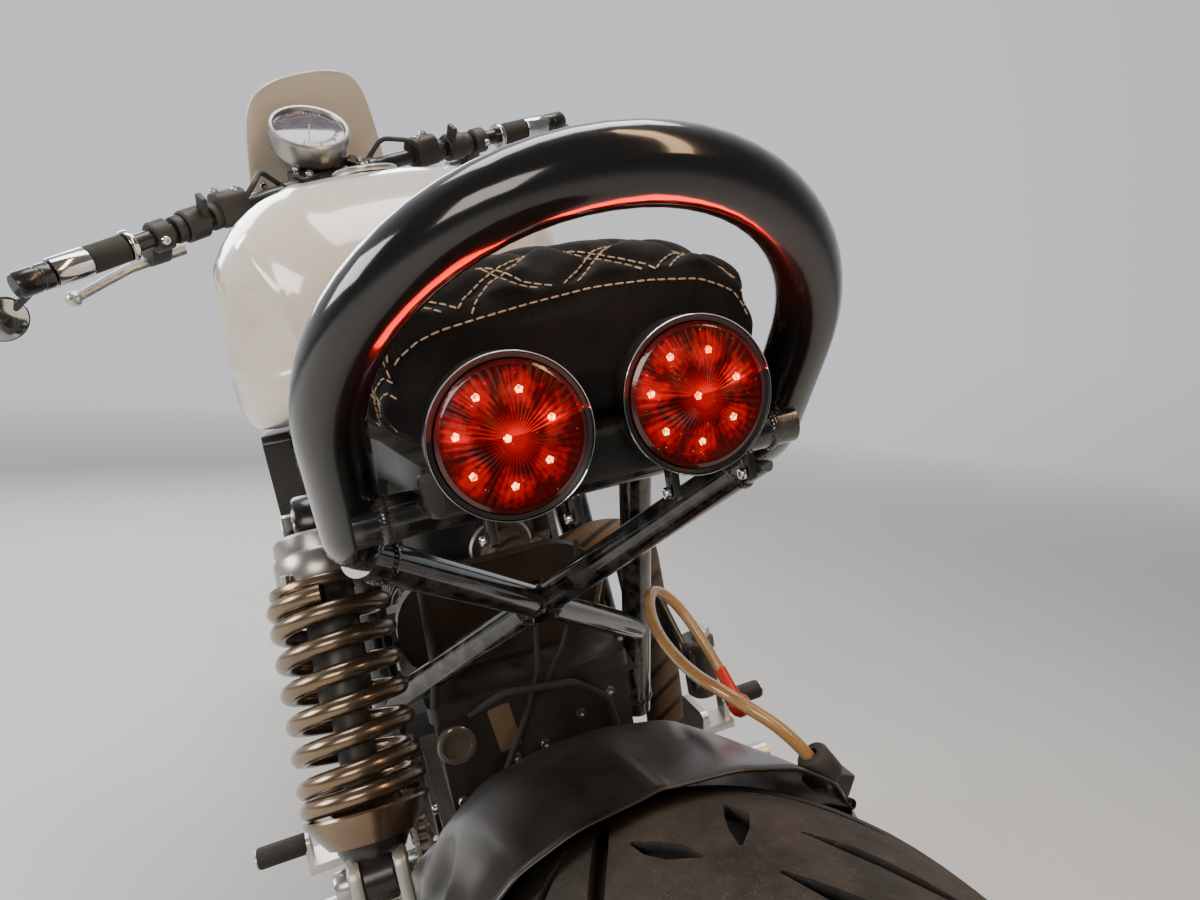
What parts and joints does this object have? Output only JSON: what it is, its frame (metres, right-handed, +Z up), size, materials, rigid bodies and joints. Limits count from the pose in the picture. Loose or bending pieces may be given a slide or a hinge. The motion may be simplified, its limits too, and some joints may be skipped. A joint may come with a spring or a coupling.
{
  "type": "motorcycle",
  "caption": "Cafe racer motorcycle with a looped tail frame, round red tail lamps, quilted seat, rounded cream tank and a side shock, leaning on its side stand.",
  "frame": {"origin": "centre of the bounding box on the road the tyres and the side stand's foot rest on", "axes": "+X forward along the wheelbase, +Y to the machine's left, +Z up; the machine leans to +Y"},
  "size_m": [2.0449, 0.7948, 1.1799],
  "materials": {
    "frame_black": "gloss black",
    "arm_silver": "silver, satin",
    "steel": "brushed",
    "spring_bronze": "metallic bronze grey",
    "engine_alloy": "cast, grey",
    "fin_alloy": "cast, dark grey",
    "pipe_bronze": "bronze heat wrap",
    "silencer_black": "matte black",
    "black_plastic": "matte",
    "gloss_black": "gloss",
    "cream_paint": "gloss cream",
    "cap_alloy": "machined",
    "seat_suede": "quilted suede, black",
    "lamp_chrome": "polished rim",
    "lamp_red": "red, clear",
    "hose_clear": "clear jacket over braid",
    "caliper_black": "satin black",
    "alloy": "machined",
    "chain_steel": "oiled",
    "rim_black": "satin black",
    "tyre_rubber": "dusty",
    "disc_steel": "ground",
    "grip_rubber": "matte",
    "gauge_metal": "satin",
    "clear_lens": "clear"
  },
  "bodies": {
    "chassis": {"frame": "frame_black", "tail_frame": "frame_black", "swing_arm": "arm_silver", "swing_arm_spindle": "steel", "rear_axle": "steel", "shock_body": "alloy", "shock_spring": "spring_bronze", "engine_cases": "engine_alloy", "front_cylinder": "fin_alloy", "rear_cylinder": "fin_alloy", "exhaust_headers": "pipe_bronze", "silencer": "silencer_black", "air_box": "black_plastic", "battery_box": "black_plastic", "fuel_tank": "cream_paint", "fuel_cap": "cap_alloy", "seat": "seat_suede", "tail_panel": "black_plastic", "lamp_cups": "lamp_chrome", "lamp_lenses": "lamp_red", "rear_hugger": "gloss_black", "rear_brake_hose": "hose_clear", "rear_caliper": "caliper_black", "brake_reservoir": "cap_alloy", "rearsets": "alloy", "drive_chain": "chain_steel", "oil_cooler": "fin_alloy", "side_scoops": "gloss_black", "stand_bracket": "frame_black"},
    "rear_wheel": {"rear_rim": "rim_black", "rear_tyre": "tyre_rubber", "rear_disc": "disc_steel", "rear_sprocket": "alloy"},
    "steering": {"steering_stem": "alloy", "top_yoke": "alloy", "fork_legs": "fin_alloy", "front_axle": "steel", "front_fender": "gloss_black", "front_calipers": "caliper_black", "handlebar": "frame_black", "grips": "grip_rubber", "bar_controls": "alloy", "bar_ends": "gloss_black", "headlamp": "gloss_black", "headlamp_lens": "clear_lens", "flyscreen": "cream_paint", "gauge": "gauge_metal"},
    "front_wheel": {"front_rim": "rim_black", "front_tyre": "tyre_rubber", "front_discs": "disc_steel"},
    "side_stand": {"side_stand": "frame_black"}
  },
  "joints": [
    {"name": "rear_wheel_spin", "type": "hinge", "parent": "chassis", "child": "rear_wheel", "pos_m": [-0.7065, -0.16825, 0.3108], "axis": [0, 0.9713, -0.238], "continuous": true},
    {"name": "steering_turn", "type": "hinge", "parent": "chassis", "child": "steering", "pos_m": [0.42694, -0.03726, 0.84531], "axis": [-0.4089, 0.2172, 0.8864], "range_deg": [-56, 0]},
    {"name": "front_wheel_spin", "type": "hinge", "parent": "steering", "child": "front_wheel", "pos_m": [0.71961, -0.15857, 0.28081], "axis": [-0.4284, 0.8119, -0.3966], "continuous": true},
    {"name": "side_stand_fold", "type": "hinge", "parent": "chassis", "child": "side_stand", "pos_m": [-0.14702, -0.06965, 0.20059], "axis": [0.1154, 0.7984, 0.5909], "range_deg": [0, 106.8]}
  ]
}
